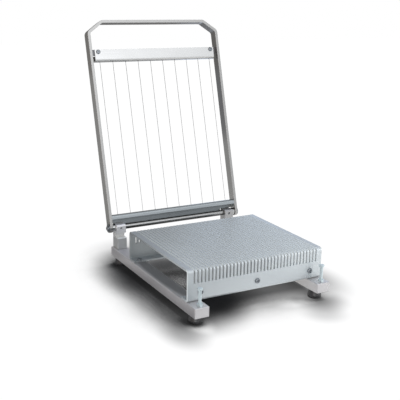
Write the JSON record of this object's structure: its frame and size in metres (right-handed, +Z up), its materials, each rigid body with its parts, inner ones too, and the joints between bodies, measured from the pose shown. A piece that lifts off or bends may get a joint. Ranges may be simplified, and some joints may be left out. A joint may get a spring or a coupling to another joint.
{
  "type": "pastry guitar cutter",
  "caption": "Hand-operated pastry guitar cutter: a slotted cutting table on two rails with feet, and a hinged frame of taut wires with a bent-bar handle that swings down through the slots.",
  "frame": {"origin": "on the floor, under the middle of the cutter's box as it stands with the frame raised", "axes": "+X along the hinge, to the right for a user at the front; -Y towards the user, where the handle comes down; +Z up"},
  "size_m": [0.3284, 0.5022, 0.5135],
  "materials": {
    "satin_aluminium": "drawn bar, satin",
    "brushed_aluminium": "brushed along the slots",
    "black_rubber": "moulded, matt",
    "polished_steel_bar": "drawn stainless flat bar, polished",
    "bright_sheet_steel": "folded stainless sheet, bright",
    "ground_steel": "ground and polished",
    "fastener_steel": "bought stainless screws and nuts",
    "wire_steel": "drawn spring wire"
  },
  "bodies": {
    "base": {"rail_left": "satin_aluminium", "rail_right": "satin_aluminium", "foot_front_left": "black_rubber", "foot_front_right": "black_rubber", "foot_rear_left": "black_rubber", "foot_rear_right": "black_rubber", "foot_screws": "fastener_steel", "cutting_table": "brushed_aluminium", "front_stiffener": "brushed_aluminium", "table_screws": "fastener_steel", "table_face_screws": "fastener_steel", "post_riser_left": "satin_aluminium", "post_riser_right": "satin_aluminium", "bearing_block_left": "satin_aluminium", "bearing_block_right": "satin_aluminium", "post_screws": "fastener_steel", "hinge_rod": "ground_steel", "hinge_spacer_left": "ground_steel", "hinge_spacer_right": "ground_steel", "rod_lock_screws": "fastener_steel", "rod_end_washers": "fastener_steel", "rod_end_screws": "fastener_steel", "stop_pin_left": "ground_steel", "stop_pin_right": "ground_steel", "stop_pin_nuts": "fastener_steel"},
    "frame": {"frame_bar": "polished_steel_bar", "near_channel": "bright_sheet_steel", "far_channel": "bright_sheet_steel", "far_channel_brackets": "bright_sheet_steel", "far_channel_screws": "fastener_steel", "far_channel_nuts": "fastener_steel", "wire_ferrules": "wire_steel", "tension_screws": "fastener_steel", "tension_nuts": "fastener_steel", "wire_01": "wire_steel", "wire_02": "wire_steel", "wire_03": "wire_steel", "wire_04": "wire_steel", "wire_05": "wire_steel", "wire_06": "wire_steel", "wire_07": "wire_steel", "wire_08": "wire_steel", "wire_09": "wire_steel", "wire_10": "wire_steel"}
  },
  "joints": [
    {"name": "frame_hinge", "type": "hinge", "parent": "base", "child": "frame", "pos_m": [0, 0.11886, 0.083], "axis": [1, 0, 0], "range_deg": [0, 106.75]}
  ]
}
